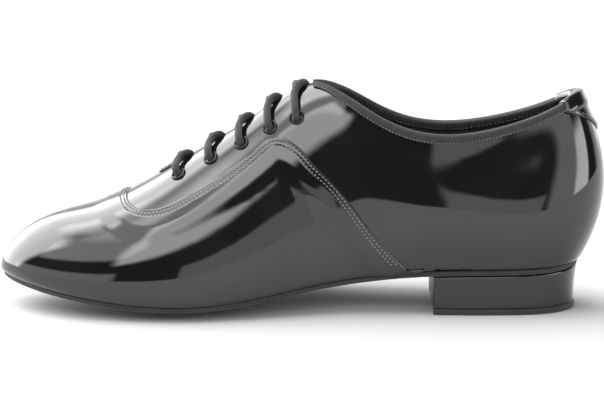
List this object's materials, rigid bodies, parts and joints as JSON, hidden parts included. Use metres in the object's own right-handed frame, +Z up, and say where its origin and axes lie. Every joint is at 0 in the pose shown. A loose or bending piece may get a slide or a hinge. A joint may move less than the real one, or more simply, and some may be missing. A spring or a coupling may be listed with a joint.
{
  "type": "lace-up dance shoe",
  "caption": "Right lace-up oxford dance shoe in patent leather with a closed throat, a hinged tongue, a low covered heel and a thin suede sole.",
  "frame": {"origin": "on the floor, under the middle of the shoe's overall box", "axes": "+X towards the heel, -X towards the toe, +Z up, -Y the inner (big toe) side"},
  "size_m": [0.2884, 0.0897, 0.1092],
  "materials": {
    "patent": "patent gloss",
    "binding": "ribbed matt",
    "lace_cord": "matt",
    "eyelet_metal": "gloss black",
    "lining": "matt",
    "stiffener": "matt",
    "board": "matt",
    "cork": "matt",
    "steel": "brushed",
    "suede": "napped",
    "heel_stack": "matt",
    "tip_plastic": "matt"
  },
  "bodies": {
    "shoe": {"vamp": "patent", "quarter_medial": "patent", "quarter_lateral": "patent", "vamp_lining": "lining", "quarter_lining": "lining", "toe_puff": "stiffener", "heel_counter": "stiffener", "facing_stay_medial": "stiffener", "facing_stay_lateral": "stiffener", "heel_grip": "suede", "topline_binding": "binding", "heel_tab": "patent", "eyelets_medial": "eyelet_metal", "eyelets_lateral": "eyelet_metal", "lace": "lace_cord", "aglets": "tip_plastic", "insole_board": "board", "sock_lining": "lining", "heel_pad": "lining", "ball_filler": "cork", "shank": "steel", "shank_rivets": "steel", "outsole": "suede", "heel_block": "heel_stack", "heel_cover": "patent", "heel_top_piece": "suede", "heel_nails": "steel", "heel_screw": "steel"},
    "tongue": {"tongue": "patent", "tongue_lining": "lining"}
  },
  "joints": [
    {"name": "tongue_lift", "type": "hinge", "parent": "shoe", "child": "tongue", "pos_m": [-0.079, 0, 0.047], "axis": [0, -1, 0], "range_deg": [0, 5]}
  ]
}
